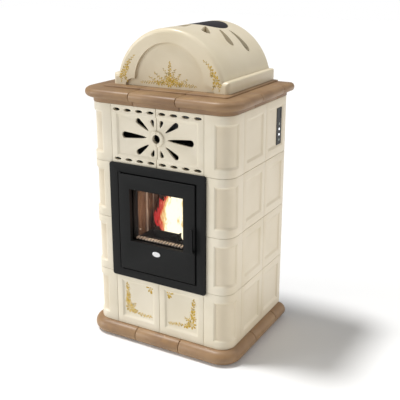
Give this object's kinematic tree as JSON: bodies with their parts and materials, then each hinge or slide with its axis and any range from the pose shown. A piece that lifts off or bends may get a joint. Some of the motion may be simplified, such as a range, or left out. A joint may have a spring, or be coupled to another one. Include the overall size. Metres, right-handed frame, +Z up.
{
  "type": "pellet stove",
  "caption": "Pellet stove clad in glazed ceramic relief tiles, with a vaulted ceramic top, a hinged glass door, a pellet hopper with auger, fans and a rear flue spigot.",
  "frame": {"origin": "on the floor under the middle of the stove", "axes": "+Z up, the door faces -Y, +X to the viewer's right"},
  "size_m": [0.658, 0.532, 1.209],
  "materials": {
    "tile_cream": "glossy cream glaze with a slightly mottled crackled surface and gold painted flowers",
    "trim_brown": "semi gloss light brown glaze with soft cloudy variation",
    "door_black": "matt black heat resistant paint",
    "casing_steel": "black powder coated sheet steel",
    "foot_rubber": "black moulded rubber pads",
    "inner_steel": "zinc plated sheet steel",
    "hearth_iron": "raw cast iron, sooted",
    "liner_refractory": "matt brown refractory board with upright ribs",
    "door_glass": "clear glass ceramic",
    "gasket_rope": "grey woven glass fibre rope",
    "badge_metal": "plain polished oval plate",
    "panel_plastic": "dark moulded plastic",
    "button_white": "white lit push buttons"
  },
  "bodies": {
    "root": {"base_front": "trim_brown", "base_right": "trim_brown", "base_left": "trim_brown", "foot_front_left": "foot_rubber", "foot_front_right": "foot_rubber", "foot_rear_left": "foot_rubber", "foot_rear_right": "foot_rubber", "corner_tile_right_1": "tile_cream", "corner_tile_left_1": "tile_cream", "side_tiles_right_1": "tile_cream", "side_tiles_left_1": "tile_cream", "corner_tile_right_2": "tile_cream", "corner_tile_left_2": "tile_cream", "side_tiles_right_2": "tile_cream", "side_tiles_left_2": "tile_cream", "corner_tile_right_3": "tile_cream", "corner_tile_left_3": "tile_cream", "side_tiles_right_3": "tile_cream", "side_tiles_left_3": "tile_cream", "corner_tile_right_4": "tile_cream", "corner_tile_left_4": "tile_cream", "side_tiles_right_4": "tile_cream", "side_tiles_left_4": "tile_cream", "lower_tile_right": "tile_cream", "lower_tile_left": "tile_cream", "vent_tile_right": "tile_cream", "vent_tile_left": "tile_cream", "cornice_front": "trim_brown", "cornice_right": "trim_brown", "cornice_left": "trim_brown", "dome": "tile_cream", "chassis": "casing_steel", "rear_panel": "casing_steel", "surround": "door_black", "firebox": "hearth_iron", "firebox_liner": "liner_refractory", "baffle": "liner_refractory", "igniter": "inner_steel", "ash_drawer": "inner_steel", "hopper": "inner_steel", "auger_motor": "inner_steel", "exhaust_housing": "inner_steel", "room_fan_housing": "inner_steel", "control_panel": "panel_plastic", "power_inlet": "panel_plastic"},
    "door": {"door_frame": "door_black", "door_glass": "door_glass", "door_gasket": "gasket_rope", "badge": "badge_metal"},
    "handle": {"door_handle": "door_black"},
    "lid": {"hopper_lid": "door_black"},
    "pot": {"burn_pot": "hearth_iron"},
    "auger": {"auger_screw": "inner_steel"},
    "smoke_fan_wheel": {"exhaust_rotor": "inner_steel"},
    "room_fan_wheel": {"room_fan_rotor": "inner_steel"},
    "button_1": {"button_1": "button_white"},
    "button_2": {"button_2": "button_white"},
    "button_3": {"button_3": "button_white"},
    "button_4": {"button_4": "button_white"},
    "switch": {"power_switch": "panel_plastic"}
  },
  "joints": [
    {"name": "door_hinge", "type": "hinge", "parent": "root", "child": "door", "pos_m": [-0.158, -0.24, 0.49325], "axis": [0, 0, -1], "range_deg": [0, 110]},
    {"name": "handle_turn", "type": "hinge", "parent": "door", "child": "handle", "pos_m": [0.157, -0.25, 0.434], "axis": [0, -1, 0], "range_deg": [0, 90]},
    {"name": "lid_lift", "type": "slide", "parent": "root", "child": "lid", "axis": [0, 0, 1], "range_m": [0, 0.2]},
    {"name": "burn_pot_lift", "type": "slide", "parent": "root", "child": "pot", "axis": [0, 0, 1], "range_m": [0, 0.05]},
    {"name": "auger_spin", "type": "hinge", "parent": "root", "child": "auger", "pos_m": [0, 0.135, 0.455], "axis": [0, -0.7071, 0.7071], "continuous": true},
    {"name": "smoke_fan_spin", "type": "hinge", "parent": "root", "child": "smoke_fan_wheel", "pos_m": [0.08, 0, 0.17], "axis": [0, 1, 0], "continuous": true},
    {"name": "room_fan_spin", "type": "hinge", "parent": "root", "child": "room_fan_wheel", "pos_m": [-0.12, 0.08, 0.15], "axis": [0, 1, 0], "continuous": true},
    {"name": "button_1_press", "type": "slide", "parent": "root", "child": "button_1", "axis": [-1, 0, 0], "range_m": [0, 0.001], "stiffness_N_per_m": 400},
    {"name": "button_2_press", "type": "slide", "parent": "root", "child": "button_2", "axis": [-1, 0, 0], "range_m": [0, 0.001], "stiffness_N_per_m": 400},
    {"name": "button_3_press", "type": "slide", "parent": "root", "child": "button_3", "axis": [-1, 0, 0], "range_m": [0, 0.001], "stiffness_N_per_m": 400},
    {"name": "button_4_press", "type": "slide", "parent": "root", "child": "button_4", "axis": [-1, 0, 0], "range_m": [0, 0.001], "stiffness_N_per_m": 400},
    {"name": "switch_rock", "type": "hinge", "parent": "root", "child": "switch", "pos_m": [-0.198, 0.234, 0.13], "axis": [-1, 0, 0], "range_deg": [0, 17]}
  ]
}
